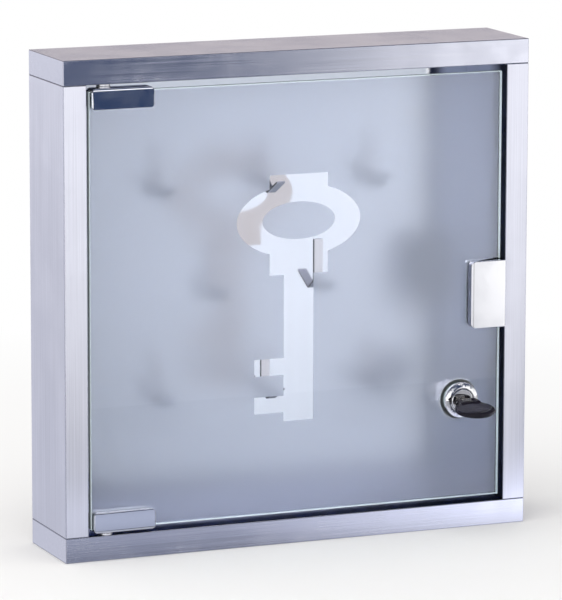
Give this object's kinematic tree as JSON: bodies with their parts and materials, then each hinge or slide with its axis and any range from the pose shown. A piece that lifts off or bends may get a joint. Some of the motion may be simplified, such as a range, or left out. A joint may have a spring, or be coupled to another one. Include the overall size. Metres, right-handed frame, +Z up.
{
  "type": "key cabinet",
  "caption": "Wall key cabinet with a brushed steel frame, a hinged frosted glass door with a clear key figure, cam lock with folding key, clip handle and hooks inside.",
  "frame": {"origin": "centre of the cabinet frame's underside, on the surface that it stands on", "axes": "+X to the right seen from the front, +Y to the back, towards the wall, +Z up"},
  "size_m": [0.3, 0.0917, 0.3],
  "materials": {
    "brushed_frame": "fine straight brushing along each profile, satin",
    "mirror_panel": "bright annealed, close to a mirror",
    "hook_steel": "bright strip, cut edges darker",
    "polished_steel": "polished",
    "chrome": "polished chrome plating",
    "zinc_steel": "bright zinc plating",
    "key_brass": "nickel-brass, satin",
    "ferrite": "sintered, matt",
    "clear_glass": "clear float glass with a green edge",
    "frosted_film": "frosted, matt",
    "pad_rubber": "matt",
    "black_rubber": "matt",
    "white_nylon": "satin",
    "grey_plastic": "fine texture",
    "black_plastic": "glossy moulding"
  },
  "bodies": {
    "cabinet": {"top_rail": "brushed_frame", "bottom_rail": "brushed_frame", "left_stile": "brushed_frame", "right_stile": "brushed_frame", "back_panel": "mirror_panel", "key_hook_1": "hook_steel", "key_hook_2": "hook_steel", "key_hook_3": "hook_steel", "key_hook_4": "hook_steel", "key_hook_5": "hook_steel", "key_hook_6": "hook_steel", "key_hook_7": "hook_steel", "key_hook_8": "hook_steel", "top_pivot_bush": "chrome", "bottom_pivot_bush": "chrome", "catch_housing": "grey_plastic", "catch_magnet": "ferrite", "catch_pole_plates": "zinc_steel", "catch_screws": "zinc_steel"},
    "door": {"glass_pane": "clear_glass", "frosted_film": "frosted_film", "top_hinge_clamp": "polished_steel", "bottom_hinge_clamp": "polished_steel", "hinge_pads": "pad_rubber", "hinge_grub_screws": "zinc_steel", "top_pivot_pin": "zinc_steel", "bottom_pivot_pin": "zinc_steel", "pivot_washers": "chrome", "handle_clip": "chrome", "handle_pads": "pad_rubber", "handle_grub_screws": "zinc_steel", "lock_body": "chrome", "lock_gasket": "black_rubber", "lock_washer": "white_nylon", "lock_nut": "zinc_steel"},
    "lock_cylinder": {"lock_plug": "chrome", "lock_cam": "zinc_steel", "cam_washer": "zinc_steel", "cam_screw": "zinc_steel"},
    "wafers": {"lock_wafers": "key_brass"},
    "key": {"key_blade": "key_brass", "key_hinge_pin": "zinc_steel"},
    "key_bow": {"key_head": "black_plastic"}
  },
  "joints": [
    {"name": "door_hinge", "type": "hinge", "parent": "cabinet", "child": "door", "pos_m": [-0.1235, -0.0256, 0.15], "axis": [0, 0, -1], "range_deg": [0, 120]},
    {"name": "lock_turn", "type": "hinge", "parent": "door", "child": "lock_cylinder", "pos_m": [0.1063, -0.02, 0.08], "axis": [0, 1, 0], "range_deg": [0, 180]},
    {"name": "wafer_slide", "type": "slide", "parent": "lock_cylinder", "child": "wafers", "axis": [1, 0, 0], "range_m": [0, 0.00091]},
    {"name": "key_pull", "type": "slide", "parent": "lock_cylinder", "child": "key", "axis": [0, -1, 0], "range_m": [0, 0.026]},
    {"name": "key_fold", "type": "hinge", "parent": "key", "child": "key_bow", "pos_m": [0.1063, -0.0384, 0.08], "axis": [1, 0, 0], "range_deg": [-11, 79]}
  ],
  "couplings": [
    {"joint": "wafer_slide", "follows": "key_pull", "ratio": 0.034615}
  ]
}
